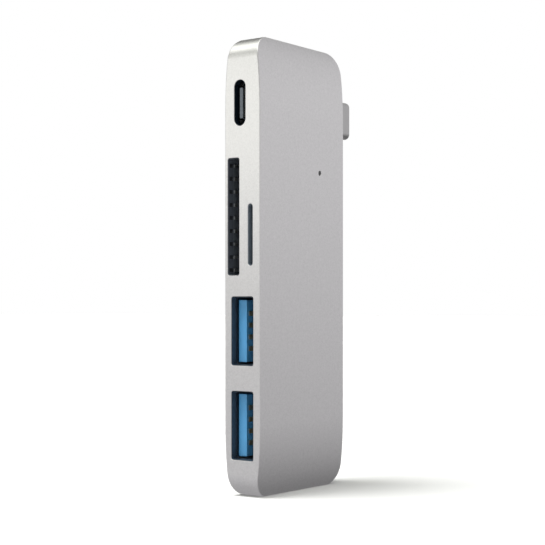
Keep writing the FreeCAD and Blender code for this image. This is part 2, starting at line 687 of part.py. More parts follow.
def plug_latch():
    """Thin steel fork whose two arms grip the sides of the socket's tongue."""
    y = around(0, 0.15)
    yoke = box((PLUG_SHELL_REAR + 0.6, PLUG_SLOT_REAR - 0.5), y, around(PLUG_Z, 6.8))
    arms = [
        box((PLUG_SLOT_REAR - 0.6, PLUG_TIP - 1.6), y, around(PLUG_Z + side * 3.3, 0.2))
        for side in (-1, 1)
    ]
    return joined(yoke, *arms)


def plug_paddle():
    return box(PADDLE_X, around(0, 0.8), around(PLUG_Z, 7.4))


def plug_bracket():
    """Steel saddle that holds the back of the plug down on the board."""
    x = (9.4, 13.4)
    inside_y = PLUG_WIDTH / 2 + 0.05
    inside_z = PLUG_HEIGHT / 2 + 0.1
    sheet = 0.2
    strap = box(x, (inside_y, inside_y + sheet), around(PLUG_Z, 2 * (inside_z + sheet)))
    pieces = [strap]
    for side in (-1, 1):
        wall = PLUG_Z + side * (inside_z + sheet / 2)
        pieces.append(box(x, (BOARD_BACK, inside_y + sheet), around(wall, sheet)))
        foot_reach = PLUG_Z + side * 7.0
        foot = (min(wall, foot_reach), max(wall, foot_reach))
        pieces.append(box((x[0], 12.6), (BOARD_BACK, BOARD_BACK + sheet), foot))
    holes = [pin_along_y(place[0], place[1], SCREW_RADIUS + 0.1, (-3, 3)) for place in BRACKET_SCREWS]
    return minus(joined(*pieces), *holes)


# ---------------------------------------------------------------- writing the nodes

def save_housing():
    save("housing_shell", housing_shell())
    save("back_cover", back_cover())
    save("cover_glue_frame", cover_glue())
    save("port_liner", port_liner())
    save("light_pipe", light_pipe())


def save_board():
    save("main_board", main_board())
    save("board_screws", *[screw(x, z, BOARD_BACK) for x, z in SCREW_PLACES[:4]])
    save("hub_controller_chip", on_front(5.5, 28.0, 9.0, 9.0, 0.85, dot=0.4))
    save("card_reader_chip", on_front(7.2, 55.0, 5.0, 5.0, 0.8, dot=0.25))
    save("power_delivery_chip", on_front(0.4, 80.0, 4.0, 4.0, 0.8, dot=0.25))
    save("thermal_pad", box(around(5.5, 7.6), (FRONT_INSIDE + 0.02, BOARD_FRONT - 0.87), around(28.0, 7.6)))
    save("crystals", *[on_front(x, z, 3.2, 2.5, 0.7, 0.15) for x, z in ((8.4, 38.4), (10.2, 63.6))])
    save("power_switches", *[on_front(3.2, z, 1.7, 2.9, 1.0, 0.15) for z in (12.0, 17.0)])
    save("power_inductors", *[on_back(5.6, z, 4.2, 4.2, 2.0, 0.4) for z in (14.6, 35.0)])
    save("bulk_capacitors", *[on_back(5.2, z, 3.5, 2.8, 1.9, 0.2) for z in (20.4, 25.0, 29.6)])
    save("ceramic_capacitors", *capacitor_rows())
    save("status_led", on_front(LIGHT_X, LIGHT_Z, 1.6, 0.8, 0.6, 0.1))
    save("ground_springs", *[ground_spring(10.6, z) for z in (18.0, 38.0)])
    save("insulating_film", box((1.0, 9.0), (COVER_INSIDE - 0.12, COVER_INSIDE - 0.02), (16.0, 42.0)))


def save_usb_a():
    for name, opening in (("upper", USB_A_OPENING_UPPER), ("lower", USB_A_OPENING_LOWER)):
        contacts = usb_a_contacts(opening)
        fast_contacts = usb_a_fast_contacts(opening)
        save("usb_a_" + name + "_shell", usb_a_shell(opening))
        save("usb_a_" + name + "_insulator", usb_a_insulator(opening, contacts + fast_contacts))
        save("usb_a_" + name + "_contacts", *contacts)
        save("usb_a_" + name + "_fast_contacts", *fast_contacts)


def save_usb_c():
    contacts = usb_c_contacts()
    save("usb_c_shell", usb_c_shell())
    save("usb_c_insulator", usb_c_insulator(contacts))
    save("usb_c_contacts", *contacts)


def save_sd():
    save("sd_base", sd_base())
    save("sd_cover", sd_cover())
    save("sd_contacts", *sd_contacts())
    save("sd_lever_pin", sd_lever_pin())
    save("sd_detect_lever", sd_detect_lever())


def save_microsd():
    save("microsd_base", microsd_base())
    save("microsd_cover", microsd_cover())
    save("microsd_contacts", *microsd_contacts())
    save("microsd_cam_pin", cam_pin())
    save("microsd_slider", microsd_slider())
    save("microsd_spring", slider_spring())


def save_plug():
    contacts = plug_contacts()
    save("plug_shell", plug_shell())
    save("plug_collar", plug_collar())
    save("plug_insulator", plug_insulator(contacts))
    save("plug_contacts", *contacts)
    save("plug_latch_spring", plug_latch())
    save("plug_paddle_board", plug_paddle())
    save("plug_bracket", plug_bracket())
    save("bracket_screws", *[screw(x, z, BOARD_BACK + 0.2) for x, z in BRACKET_SCREWS])


os.makedirs("parts", exist_ok=True)
save_housing()
save_board()
save_usb_a()
save_usb_c()
save_sd()
save_microsd()
save_plug()
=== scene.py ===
"""Looks of the slim aluminium USB hub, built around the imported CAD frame.

Shapes are worked out in millimetres and turned into metres when a mesh is made.
The hub stands on its lower end: +Z is its length, -X the port face, +X the plug,
-Y the face with the status light and +Y the back cover.
"""

import json
import math

import bmesh
import bpy
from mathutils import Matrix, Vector


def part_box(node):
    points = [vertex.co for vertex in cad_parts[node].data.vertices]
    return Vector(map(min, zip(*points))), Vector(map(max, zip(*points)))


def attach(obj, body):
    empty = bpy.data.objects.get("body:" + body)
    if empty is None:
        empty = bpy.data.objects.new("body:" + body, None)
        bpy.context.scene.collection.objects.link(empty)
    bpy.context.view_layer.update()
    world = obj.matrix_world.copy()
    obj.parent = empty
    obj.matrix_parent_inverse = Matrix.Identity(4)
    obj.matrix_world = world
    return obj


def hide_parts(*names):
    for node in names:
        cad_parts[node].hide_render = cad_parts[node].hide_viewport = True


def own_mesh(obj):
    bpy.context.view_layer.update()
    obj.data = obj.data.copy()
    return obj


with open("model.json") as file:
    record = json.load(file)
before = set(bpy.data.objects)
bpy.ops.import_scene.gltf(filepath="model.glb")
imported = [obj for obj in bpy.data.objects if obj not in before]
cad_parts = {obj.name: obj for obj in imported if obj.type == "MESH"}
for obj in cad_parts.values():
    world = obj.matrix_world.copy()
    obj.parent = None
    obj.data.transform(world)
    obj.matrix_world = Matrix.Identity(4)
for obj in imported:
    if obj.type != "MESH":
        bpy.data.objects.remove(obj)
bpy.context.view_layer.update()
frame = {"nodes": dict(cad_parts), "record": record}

MM = 0.001
HUB = "hub"
SHARP_ANGLE = 32                      # edges that turn by more degrees than this stay sharp
SMALLEST_RADIUS = 0.01

# Housing, in millimetres
BODY_LOW, BODY_HIGH = (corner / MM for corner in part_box("housing_shell"))
LENGTH = BODY_HIGH.z - BODY_LOW.z
WIDTH = BODY_HIGH.x - BODY_LOW.x
THICKNESS = BODY_HIGH.y - BODY_LOW.y
PORT_FACE = BODY_LOW.x
PLUG_FACE = BODY_HIGH.x
CORNER_RADIUS = 4.7
TAPER_LENGTH = 15.5
TAPER_DEPTH = 2.0
LOWER_TIP = -0.15                     # where the lower end's curves would meet, below the flat foot
FOOT_CLEARANCE = 0.01                 # the housing's sections start this far above its foot
EDGE_RADIUS = 0.25
SIDE_WALL = 1.2
FRONT_WALL = 1.0
RIM = 0.6
COVER_DEPTH = 0.6
COVER_THICKNESS = 0.5
COVER_GAP = 0.1
SEAM_ROUND = 0.09
MOUTH_CHAMFER = 0.06
CAVITY_RADIUS = 0.2
CAVITY_OVERLAP = 0.1                  # how far the cavity's tool runs into the cover's recess
RECESS_RADIUS = 0.05
OVERCUT = 0.5                         # how far a cutting tool runs past the wall that it cuts
TURN_STEPS = 30                       # sections through the rounded corner at an end
TAPER_STEPS = 16                      # and through the rest of the tapered stretch
LIGHT_HOLE_RADIUS = 0.5
LIGHT_HOLE_EDGE = 0.08
LIGHT_HOLE_SIDES = 48
COLLAR_OVERLAP = 0.3                  # how much wider the plug's collar is than the hole it covers

# Openings in the port face: name of the mount in its middle, width across the hub,
# height along it, corner radius and thickness of the collar that lines it
OPENINGS = {
    "usb_c_socket": (2.96, 9.5, 1.48, 0.15),
    "sd_slot": (3.06, 24.3, 0.5, 0.12),
    "microsd_slot": (1.24, 12.7, 0.62, 0.10),
    "usb_a_upper_socket": (5.74, 14.25, 0.5, 0.15),
    "usb_a_lower_socket": (5.74, 14.25, 0.5, 0.15),
}
COLLAR_RECESS = 0.04
COLLAR_CLEARANCE = 0.02
COLLAR_LIP = 0.06
LINER_RADIUS = 0.3
LINER_GAP = 0.05                      # between the port wall and the liner's plate

# Notches in the lining of the SD slot, over the tips of its contacts; their floors are painted dark, painted
# shade
NOTCH_DEPTH = (0.55, 1.55)            # from the port face
NOTCH_SIZE = (0.08, 0.8)
NOTCH_RADIUS = 0.05
SD_CONTACTS = 9
SD_CONTACT_PITCH = 2.71
SD_CONTACT_SHIFT = -0.15

# Coil spring of the microSD slider
SPRING_TURNS = 9
SPRING_WIRE = 0.07                    # radius of the wire
SPRING_DEAD_TURN = 0.03               # share of the length that a closed end turn takes
SPRING_STEPS = 24                     # sections in one turn
WIRE_SIDES = 10

TRACK_SPACING = 1.6                   # between the copper tracks of the circuit board

# Camera and studio
VIEW_TURN = math.radians(36.89)       # the view direction, turned from +X towards +Y
CAMERA_PLACE = (-230.03, -169.0)
CAMERA_HEIGHT = 39.45
LENS = 87.8
FRAME_SHIFT = 0.0604
CLIP_START = 10.0
FLOOR_REACH = 4000

# The tent of light: how far up a direction points, and its strength on the port
# face's side (left) and on the front face's side (right)
TENT_LEVELS = (
    (-1.0, 0.38, 0.20), (-0.5, 0.55, 0.21), (-0.3, 0.60, 0.23), (-0.14, 0.58, 0.46), (0.0, 0.60, 0.60),
    (0.06, 0.72, 0.65), (0.12, 0.98, 0.71), (0.17, 0.90, 0.74), (0.24, 0.40, 0.69), (0.46, 0.34, 0.57),
    (0.64, 1.10, 0.48), (0.8, 1.75, 0.40), (1.0, 1.40, 0.50),
)
TENT_TOP = 2.0
LEFT_RANGE = (-0.95, 0.45)            # from the right side's strength to the left side's
WARM_WHITE = (1.0, 1.02, 0.94)
WARM_HEIGHT = 0.2                     # how far up the tent has fully turned to WARM_WHITE on the left
KEY_FROM = (-0.26, 0.222, 0.94)
KEY_SPREAD = math.radians(25)
KEY_STRENGTH = 3.0
CARD_PLACE = (-260, 195, 165)
CARD_TARGET = (-15, 0, 75)
CARD_SIZE = (260, 170)
CARD_POWER = 0.075
# Black flags behind the hub: the middle, the cosines at the soft edge, and how much light is left
FLAGS = (
    ((0.50, 0.60, 0.62), (0.80, 0.94), 0.22),
    ((0.43, 0.86, 0.28), (0.86, 0.97), 0.25),
)
PORT_FACE_MIRRORS = (-0.8, 0.6, 0)    # the direction that the port face shows the camera


# ---------------------------------------------------------------- mesh helpers

def node_box(node):
    """The two corners of a CAD node's box, in millimetres."""
    low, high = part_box(node)
    return low / MM, high / MM


def mount_place(name):
    """Where a mount of the record stands, in millimetres."""
    for mount in frame["record"]["mounts"]:
        if mount["name"] == name:
            return Vector(mount["pos_m"]) / MM
    raise ValueError("no mount is called " + name)


def rounded_loop(place, middle, size, radius, steps=8, support=0.0):
    """Points round a rounded rectangle.  place(u, v) turns a flat point into a point in space.

    support adds a point that far outside both ends of every arc, on the straight sides.
    """
    points = []
    for quarter in range(4):
        sign_u = 1 if quarter in (0, 3) else -1
        sign_v = 1 if quarter in (0, 1) else -1
        centre_u = middle[0] + sign_u * (size[0] / 2 - radius)
        centre_v = middle[1] + sign_v * (size[1] / 2 - radius)
        first = math.radians(90 * quarter)
        along = (math.sin(first), -math.cos(first))
        if support:
            start = (centre_u + radius * math.cos(first), centre_v + radius * math.sin(first))
            points.append(place(start[0] + along[0] * support, start[1] + along[1] * support))
        for step in range(steps + 1):
            angle = first + math.pi / 2 * step / steps
            points.append(place(centre_u + radius * math.cos(angle), centre_v + radius * math.sin(angle)))
        if support:
            last = first + math.pi / 2
            end = (centre_u + radius * math.cos(last), centre_v + radius * math.sin(last))
            points.append(place(end[0] - math.sin(last) * support, end[1] + math.cos(last) * support))
    return points


def loft(bm, rings, wrap=False):
    """Skins a row of rings with equal numbers of points; capped, or wrapped round to the first."""
    made = [[bm.verts.new(point) for point in ring] for ring in rings]
    pairs = list(zip(made, made[1:]))
    if wrap:
        pairs.append((made[-1], made[0]))
    for ring, following in pairs:
        count = len(ring)
        for index in range(count):
            after = (index + 1) % count
            bm.faces.new((ring[index], ring[after], following[after], following[index]))
    if not wrap:
        bm.faces.new(list(reversed(made[0])))
        bm.faces.new(made[-1])


def to_mesh(name, bm):
    """A mesh datablock in metres, its normals facing out."""
    bmesh.ops.recalc_face_normals(bm, faces=bm.faces)
    bmesh.ops.scale(bm, vec=(MM, MM, MM), verts=bm.verts)
    mesh = bpy.data.meshes.new(name)
    bm.to_mesh(mesh)
    bm.free()
    return mesh


def to_object(name, mesh):
    made = bpy.data.objects.new(name, mesh)
    bpy.context.scene.collection.objects.link(made)
    return made


def smooth(piece):
    piece.data.shade_smooth()
    piece.data.set_sharp_from_angle(angle=math.radians(SHARP_ANGLE))


def finish_piece(piece, body=HUB, replaces=()):
    """Smooth shading, and the calls that tie a piece to the frame."""
    smooth(piece)
    even = piece.modifiers.new("even_normals", "WEIGHTED_NORMAL")
    even.keep_sharp = True
    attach(piece, body)
    if replaces:
        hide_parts(*replaces)
    return piece


def combine(piece, tool, operation="DIFFERENCE"):
    """Cuts the tool out of the piece or joins it on, and removes the tool."""
    modifier = piece.modifiers.new("combine", "BOOLEAN")
    modifier.operation = operation
    modifier.solver = "EXACT"
    modifier.object = tool
    shown = piece.evaluated_get(bpy.context.evaluated_depsgraph_get())
    result = bpy.data.meshes.new_from_object(shown)
    piece.modifiers.clear()
    old = piece.data
    piece.data = result
    bpy.data.meshes.remove(old)
    spent = tool.data
    bpy.data.objects.remove(tool)
    bpy.data.meshes.remove(spent)


def paint(piece, materials, index=0):
    """Gives a piece its materials, all its faces taking the one at index."""
    for material in materials:
        piece.data.materials.append(material)
    for face in piece.data.polygons:
        face.material_index = index
    return piece


def bar_rings(stations, middle, size, radius, steps=8):
    """Rings across X: each station is (x, how far the section is grown there)."""
    rings = []
    for x, grown in stations:
        grown_size = (size[0] + 2 * grown, size[1] + 2 * grown)
        rings.append(rounded_loop(
            lambda y, z, x=x: Vector((x, y, z)), middle, grown_size,
            max(radius + grown, SMALLEST_RADIUS), steps))
    return rings


# ---------------------------------------------------------------- materials

class Nodes:
    """A short way to write node trees."""

    def __init__(self, tree):
        self.tree = tree

    def add(self, kind, inputs=None, **settings):
        node = self.tree.nodes.new(kind)
        for name, value in settings.items():
            setattr(node, name, value)
        for name, value in (inputs or {}).items():
            self.put(node.inputs[name], value)
        return node

    def put(self, socket, value):
        if isinstance(value, bpy.types.NodeSocket):
            self.tree.links.new(value, socket)
        else:
            socket.default_value = value

    def math(self, operation, first, second=0.0):
        node = self.add("ShaderNodeMath", operation=operation)
        self.put(node.inputs[0], first)
        self.put(node.inputs[1], second)
        return node.outputs[0]

    def noise(self, place, size_mm, detail=2.0, roughness=0.5):
        """Noise whose blobs are about size_mm across."""
        node = self.add(
            "ShaderNodeTexNoise",
            {"Vector": place, "Scale": 1 / (size_mm * MM), "Detail": detail, "Roughness": roughness},
        )
        return node.outputs["Fac"]

    def span(self, factor, low, high):
        """A 0 to 1 factor stretched to run from low to high."""
        node = self.add("ShaderNodeMapRange", {"Value": factor, "To Min": low, "To Max": high})
        return node.outputs["Result"]

    def blend(self, factor, first, second):
        node = self.add("ShaderNodeMix", data_type="RGBA")
        self.put(node.inputs["Factor"], factor)
        self.put(node.inputs["A"], (*first, 1) if isinstance(first, tuple) else first)
        self.put(node.inputs["B"], (*second, 1) if isinstance(second, tuple) else second)
        return node.outputs["Result"]

    def bump(self, height, strength, depth_mm):
        node = self.add("ShaderNodeBump", {"Height": height, "Strength": strength, "Distance": depth_mm * MM})
        return node.outputs["Normal"]


def new_material(name):
    material = bpy.data.materials.new(name)
    material.use_nodes = True
    nodes = Nodes(material.node_tree)
    shader = material.node_tree.nodes["Principled BSDF"]
    place = nodes.add("ShaderNodeTexCoord").outputs["Object"]
    return material, nodes, shader, place


def bead_blasted(name, tone=(0.80, 0.784, 0.80)):
    """Clear-anodised aluminium with the fine even grain of bead blasting."""
    material, nodes, shader, place = new_material(name)
    grain = nodes.noise(place, 0.30, 3.0, 0.6)
    pits = nodes.noise(place, 0.75, 2.0)
    cloud = nodes.noise(place, 9.0, 2.0)
    fleck = nodes.math("ADD", nodes.math("MULTIPLY", grain, 0.7), nodes.math("MULTIPLY", pits, 0.3))
    dark = tuple(value * 0.90 for value in tone)
    light = tuple(min(value * 1.10, 1) for value in tone)
    grained = nodes.blend(nodes.span(fleck, -0.5, 1.5), dark, light)
    clouded = nodes.blend(nodes.span(cloud, 0.0, 0.10), grained, tuple(value * 0.93 for value in tone))
    nodes.put(shader.inputs["Base Color"], clouded)
    shader.inputs["Metallic"].default_value = 1.0
    nodes.put(shader.inputs["Roughness"], nodes.span(grain, 0.28, 0.38))
    nodes.put(shader.inputs["Normal"], nodes.bump(fleck, 0.35, 0.02))
    return material


def moulded(name, colour, roughness=0.45, grain_mm=0.12, variation=0.15, coat=0.0, gloss=0.5):
    """Moulded plastic: faint colour drift, fine texture."""
    material, nodes, shader, place = new_material(name)
    grain = nodes.noise(place, grain_mm, 3.0)
    drift = nodes.noise(place, 2.5, 2.0)
    shade = tuple(value * (1 - variation) for value in colour)
    nodes.put(shader.inputs["Base Color"], nodes.blend(drift, shade, colour))
    nodes.put(shader.inputs["Roughness"], nodes.span(grain, roughness - 0.06, roughness + 0.06))
    nodes.put(shader.inputs["Normal"], nodes.bump(grain, 0.25, 0.006))
    shader.inputs["Coat Weight"].default_value = coat
    shader.inputs["Specular IOR Level"].default_value = gloss
    return material


def rolled_metal(name, colour, roughness=0.3, stretch=(1, 6, 6), grain_mm=0.3):
    """Sheet metal with fine rolling marks along X."""
    material, nodes, shader, place = new_material(name)
    mapping = nodes.add("ShaderNodeMapping", {"Vector": place, "Scale": stretch})
    marks = nodes.noise(mapping.outputs["Vector"], grain_mm, 4.0, 0.6)
    tarnish = nodes.noise(place, 1.8, 3.0)
    nodes.put(shader.inputs["Base Color"], nodes.blend(tarnish, tuple(v * 0.85 for v in colour), colour))
    shader.inputs["Metallic"].default_value = 1.0
    nodes.put(shader.inputs["Roughness"], nodes.span(marks, roughness - 0.07, roughness + 0.1))
    nodes.put(shader.inputs["Normal"], nodes.bump(marks, 0.2, 0.004))
    return material


def solder_mask(name):
    """Green board: copper tracks show as lighter lines through the mask."""
    material, nodes, shader, place = new_material(name)
    mapping = nodes.add("ShaderNodeMapping", {"Vector": place, "Rotation": (math.pi / 2, 0, 0)})
    tracks = nodes.add(
        "ShaderNodeTexBrick",
        {"Vector": mapping.outputs["Vector"], "Scale": 1 / (TRACK_SPACING * MM),
         "Mortar Size": 0.12, "Mortar Smooth": 0.2},
        offset=0.37,
    )
    weave = nodes.noise(place, 0.5, 2.0)
    base = nodes.blend(weave, (0.008, 0.07, 0.04), (0.012, 0.10, 0.055))
    nodes.put(shader.inputs["Base Color"], nodes.blend(tracks.outputs["Fac"], base, (0.03, 0.19, 0.10)))
    nodes.put(shader.inputs["Roughness"], nodes.span(weave, 0.25, 0.38))
    nodes.put(shader.inputs["Normal"], nodes.bump(tracks.outputs["Fac"], 0.3, 0.01))
    shader.inputs["Coat Weight"].default_value = 0.4
    return material


def smoked_clear(name):
    material, nodes, shader, place = new_material(name)
    haze = nodes.noise(place, 0.4, 2.0)
    nodes.put(shader.inputs["Base Color"], nodes.blend(haze, (0.10, 0.10, 0.11), (0.16, 0.16, 0.17)))
    nodes.put(shader.inputs["Roughness"], nodes.span(haze, 0.15, 0.28))
    shader.inputs["Transmission Weight"].default_value = 0.5
    return material


MATERIALS = {
    "bead_blasted_aluminium": bead_blasted("bead_blasted_aluminium"),
    "black_plastic": moulded("black_plastic", (0.004, 0.009, 0.016), gloss=0.2),
    # painted light: the black socket plastic lightened to slate for the light that reaches into the card
    # slots
    "slate_plastic": moulded("slate_plastic", (0.098, 0.112, 0.132)),
    "blue_plastic": moulded("blue_plastic", (0.074, 0.30, 0.585), 0.42, coat=0.1),
    "socket_steel": rolled_metal("socket_steel", (0.52, 0.54, 0.58), 0.42),
    "plug_steel": rolled_metal("plug_steel", (0.62, 0.61, 0.62), 0.38),
    "contact_gold": rolled_metal("contact_gold", (0.80, 0.66, 0.42), 0.5, grain_mm=0.15),
    "contact_tin": rolled_metal("contact_tin", (0.62, 0.64, 0.66), 0.5, grain_mm=0.15),
    "circuit_board": solder_mask("circuit_board"),
    "chip_black": moulded("chip_black", (0.018, 0.018, 0.020), 0.6),
    "crystal_can": rolled_metal("crystal_can", (0.7, 0.7, 0.7), 0.25),
    "capacitor_ceramic": moulded("capacitor_ceramic", (0.42, 0.29, 0.17), 0.4),
    "tantalum_yellow": moulded("tantalum_yellow", (0.70, 0.42, 0.06), 0.4),
    "inductor_grey": moulded("inductor_grey", (0.10, 0.10, 0.105), 0.7, 0.3),
    "silicone_pad": moulded("silicone_pad", (0.32, 0.42, 0.55), 0.7),
    "glue_black": moulded("glue_black", (0.02, 0.02, 0.02), 0.6),
    "film_amber": moulded("film_amber", (0.50, 0.22, 0.03), 0.2, coat=0.5),
    "light_pipe_smoke": smoked_clear("light_pipe_smoke"),
    "led_body": moulded("led_body", (0.80, 0.78, 0.66), 0.3, coat=0.3),
}
# The liner is one black moulding: the navy, slate and light slate linings are painted light, copies of the
# black lightened for the light that reaches into each opening
LINING_LIGHT_AND_SHADE = (
    MATERIALS["black_plastic"],
    moulded("lining_navy_painted_light", (0.030, 0.050, 0.080)),
    moulded("lining_slate_painted_light", (0.076, 0.086, 0.108)),
    moulded("lining_light_slate_painted_light", (0.17, 0.20, 0.24)),
    # painted shade: near-black for the floors of the SD notches, where shade falls
    moulded("lining_notch_painted_shade", (0.012, 0.014, 0.018), 0.6),
)
LINING_LIGHT_OF = {
    "usb_c_socket": 0, "sd_slot": 2, "microsd_slot": 3, "usb_a_upper_socket": 1, "usb_a_lower_socket": 1,
}
NOTCH_PAINTED_SHADE = 4


def dress_cad_nodes():
    """Every CAD node takes the procedural material of its slot in the record."""
    for row in frame["record"]["subparts"]:
        node = frame["nodes"][row["node"]]
        material = MATERIALS[row["material_slot"]]
        if not node.material_slots:
            node.data.materials.append(material)
        for place in node.material_slots:
            place.link = "OBJECT"
            place.material = material


# ---------------------------------------------------------------- housing

def half_width(z, inset):
    """Half the hub's width at height z, its outline brought in by inset."""
    radius = CORNER_RADIUS - inset
    from_end = min(z - LOWER_TIP, LENGTH - z) - inset
    if from_end >= radius:
        return WIDTH / 2 - inset
    return WIDTH / 2 - CORNER_RADIUS + math.sqrt(max(radius ** 2 - (radius - from_end) ** 2, 0))


def half_thickness(z):
    """Half the hub's thickness at height z: flat, then elliptical towards the ends."""
    from_end = min(z - LOWER_TIP, LENGTH - z)
    if from_end >= TAPER_LENGTH:
        return THICKNESS / 2
    run = 1 - from_end / TAPER_LENGTH
    return THICKNESS / 2 - TAPER_DEPTH * (1 - math.sqrt(max(1 - run ** 2, 0)))


def heights(inset):
    """Heights of the sections, close together where the outline turns into the end."""
    radius = CORNER_RADIUS - inset
    quarter = [math.pi / 2 * step / TURN_STEPS for step in range(TURN_STEPS + 1)]
    turn = [inset + radius * (1 - math.cos(angle)) for angle in quarter]
    beyond = TAPER_LENGTH - CORNER_RADIUS
    taper = [CORNER_RADIUS + beyond * step / TAPER_STEPS for step in range(1, TAPER_STEPS + 1)]
    from_tip = turn + taper
    lower = [LOWER_TIP + z for z in from_tip if LOWER_TIP + z > FOOT_CLEARANCE]
    if LOWER_TIP + inset < 0:
        lower.insert(0, 0.0)
    return lower + [LENGTH / 2] + [LENGTH - z for z in reversed(from_tip)]


def body_block(name, inset, low_y, high_y, radius, steps=6, support=0.04):
    """A block inside the inset outline, from low_y(z) to high_y(z), its long edges rounded."""
    rings = []
    for z in heights(inset):
        across = 2 * half_width(z, inset)
        low, high = low_y(z), high_y(z)
        middle = (0, (low + high) / 2)
        rings.append(rounded_loop(
            lambda x, y, z=z: Vector((x, y, z)), middle, (across, high - low), radius, steps, support))
    bm = bmesh.new()
    loft(bm, rings)
    return to_object(name, to_mesh(name, bm))


def opening_tool(mount, size, radius):
    """What is milled out of the port wall for one opening, its mouth chamfered."""
    place = mount_place(mount)
    stations = (
        (PORT_FACE - 1.0, MOUTH_CHAMFER), (PORT_FACE, MOUTH_CHAMFER),
        (PORT_FACE + MOUTH_CHAMFER, 0.0), (PORT_FACE + SIDE_WALL + OVERCUT, 0.0),
    )
    bm = bmesh.new()
    loft(bm, bar_rings(stations, (place.y, place.z), size, radius, 12))
    return to_object("tool_" + mount, to_mesh("tool_" + mount, bm))


def plug_opening_tool():
    low, high = node_box("plug_collar")
    middle = ((low.y + high.y) / 2, (low.z + high.z) / 2)
    size = (high.y - low.y - COLLAR_OVERLAP, high.z - low.z - COLLAR_OVERLAP)
    bm = bmesh.new()
    stations = ((PLUG_FACE - SIDE_WALL - OVERCUT, 0), (PLUG_FACE + 1, 0))
    loft(bm, bar_rings(stations, middle, size, size[0] / 2, 12))
    return to_object("tool_plug", to_mesh("tool_plug", bm))


def light_hole_tool():
    """The drilled hole for the status light, with a broken edge."""
    low, high = node_box("light_pipe")
    x, z = (low.x + high.x) / 2, (low.z + high.z) / 2
    front = BODY_LOW.y
    mouth = LIGHT_HOLE_RADIUS + LIGHT_HOLE_EDGE
    stations = (
        (front - 1, mouth), (front, mouth),
        (front + LIGHT_HOLE_EDGE, LIGHT_HOLE_RADIUS), (0, LIGHT_HOLE_RADIUS),
    )
    turn = [math.tau * step / LIGHT_HOLE_SIDES for step in range(LIGHT_HOLE_SIDES)]
    rings = []
    for y, wide in stations:
        rings.append([Vector((x + wide * math.cos(a), y, z + wide * math.sin(a))) for a in turn])
    bm = bmesh.new()
    loft(bm, rings)
    return to_object("tool_light", to_mesh("tool_light", bm))


def build_housing():
    """The milled tub: rounded outside, hollow inside, let in at the back for the cover."""
    shell = body_block(
        "housing", 0.0, lambda z: -half_thickness(z), half_thickness, EDGE_RADIUS)
    inside = body_block(
        "tool_inside", SIDE_WALL,
        lambda z: FRONT_WALL - half_thickness(z),
        lambda z: half_thickness(z) - COVER_DEPTH + CAVITY_OVERLAP,
        CAVITY_RADIUS, 3)
    recess = body_block(
        "tool_recess", RIM, lambda z: half_thickness(z) - COVER_DEPTH, lambda z: THICKNESS,
        RECESS_RADIUS, 2)
    combine(shell, recess)
    combine(shell, inside)
    for mount, (width, height, radius, _) in OPENINGS.items():
        combine(shell, opening_tool(mount, (width, height), radius))
    combine(shell, plug_opening_tool())
    combine(shell, light_hole_tool())
    paint(shell, [MATERIALS["bead_blasted_aluminium"]])
    finish_piece(shell, replaces=["housing_shell"])


def build_cover():
    cover = body_block(
        "rear_cover", RIM + COVER_GAP, lambda z: half_thickness(z) - COVER_THICKNESS, half_thickness,
        SEAM_ROUND, 4)
    paint(cover, [MATERIALS["bead_blasted_aluminium"]])
    finish_piece(cover, replaces=["back_cover"])


# ---------------------------------------------------------------- port liner

def bar(name, stations, middle, size, radius, steps=8):
    bm = bmesh.new()
    loft(bm, bar_rings(stations, middle, size, radius, steps))
    return to_object(name, to_mesh(name, bm))


def build_liner():
    """The black plate behind the port wall with a collar in every opening; the inside of each collar is
    painted its own shade of the black plastic, painted light for how much light reaches into that opening.
    """
    low, high = node_box("port_liner")
    plate_back = high.x
    plate_front = PORT_FACE + SIDE_WALL + LINER_GAP
    middle = ((low.y + high.y) / 2, (low.z + high.z) / 2)
    size = (high.y - low.y, high.z - low.z)
    plate = ((plate_front, 0), (plate_back, 0))
    liner = paint(bar("socket_liner", plate, middle, size, LINER_RADIUS), LINING_LIGHT_AND_SHADE)
    front = PORT_FACE + COLLAR_RECESS
    for mount, (width, height, radius, lining) in OPENINGS.items():
        place = mount_place(mount)
        spot = (place.y, place.z)
        outside = (width - 2 * COLLAR_CLEARANCE, height - 2 * COLLAR_CLEARANCE)
        stations = ((front, -COLLAR_LIP / 2), (front + COLLAR_LIP / 2, 0), (plate_back, 0))
        collar = bar("collar", stations, spot, outside, radius - COLLAR_CLEARANCE, 10)
        combine(liner, paint(collar, LINING_LIGHT_AND_SHADE), "UNION")
        inside = (width - 2 * lining, height - 2 * lining)
        stations = (
            (front - 1, COLLAR_LIP), (front, COLLAR_LIP),
            (front + COLLAR_LIP, 0), (plate_back + 1, 0),
        )
        hollow = bar("hollow", stations, spot, inside, radius - lining, 10)
        # painted light: the inside of the collar takes the lightened lining of its opening
        combine(liner, paint(hollow, LINING_LIGHT_AND_SHADE, LINING_LIGHT_OF[mount]))
    cut_sd_notches(liner)
    finish_piece(liner, replaces=["port_liner"])


def sd_contact_heights():
    """The heights of the SD socket's contacts, evenly spaced along the slot."""
    middle = mount_place("sd_slot").z + SD_CONTACT_SHIFT
    first = middle - SD_CONTACT_PITCH * (SD_CONTACTS - 1) / 2
    return [first + SD_CONTACT_PITCH * number for number in range(SD_CONTACTS)]


def cut_sd_notches(liner):
    width, _, _, lining = OPENINGS["sd_slot"]
    wall = mount_place("sd_slot").y + width / 2 - lining
    start, end = (PORT_FACE + depth for depth in NOTCH_DEPTH)
    for z in sd_contact_heights():
        size = (2 * NOTCH_SIZE[0], NOTCH_SIZE[1])
        notch = bar("notch", ((start, 0), (end, 0)), (wall, z), size, NOTCH_RADIUS, 3)
        # painted shade: the notch floors take the dark lining colour
        combine(liner, paint(notch, LINING_LIGHT_AND_SHADE, NOTCH_PAINTED_SHADE))


# ---------------------------------------------------------------- microSD spring

def spring_place(turn):
    """How far along the spring a turn lies, 0 to 1: the first and the last turn lie closed."""
    closed = SPRING_DEAD_TURN
    if turn < 1:
        return closed * turn
    if turn > SPRING_TURNS - 1:
        return 1 - closed * (SPRING_TURNS - turn)
    return closed + (1 - 2 * closed) * (turn - 1) / (SPRING_TURNS - 2)


